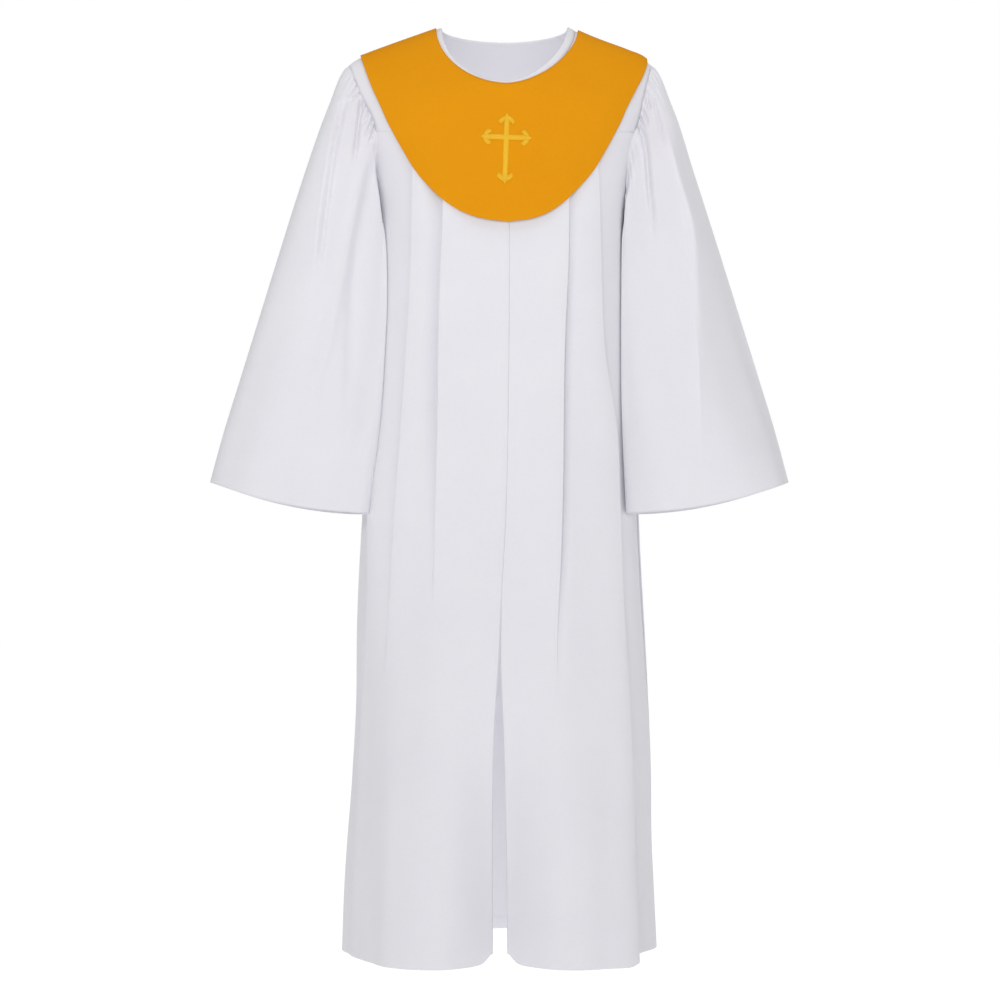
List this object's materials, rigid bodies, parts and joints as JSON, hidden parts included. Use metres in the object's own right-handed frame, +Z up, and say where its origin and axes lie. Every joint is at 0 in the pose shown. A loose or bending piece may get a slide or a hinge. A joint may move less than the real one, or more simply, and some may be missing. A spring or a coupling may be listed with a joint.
{
  "type": "clergy robe",
  "caption": "Long white clergy robe with gathered bell sleeves, pleats, a front slit and a gold overlay collar with an embroidered cross, hollow as worn.",
  "frame": {"origin": "midway between the two shoulder points, where the wearer's shoulders carry the robe", "axes": "+Z up, the front faces -Y, the wearer's right sleeve is on the -X side"},
  "size_m": [0.825, 0.4327, 1.3197],
  "materials": {
    "robe_cloth": "matt white woven polyester",
    "collar_cloth": "matt golden yellow woven polyester",
    "embroidery": "satin yellow embroidery thread"
  },
  "bodies": {
    "root": {"front_left": "robe_cloth", "front_right": "robe_cloth", "back": "robe_cloth", "yoke_front_left": "robe_cloth", "yoke_front_right": "robe_cloth", "yoke_back": "robe_cloth", "sleeve_left": "robe_cloth", "sleeve_right": "robe_cloth", "neck_binding": "robe_cloth", "collar_front": "collar_cloth", "collar_back": "collar_cloth", "cross": "embroidery"}
  },
  "joints": []
}
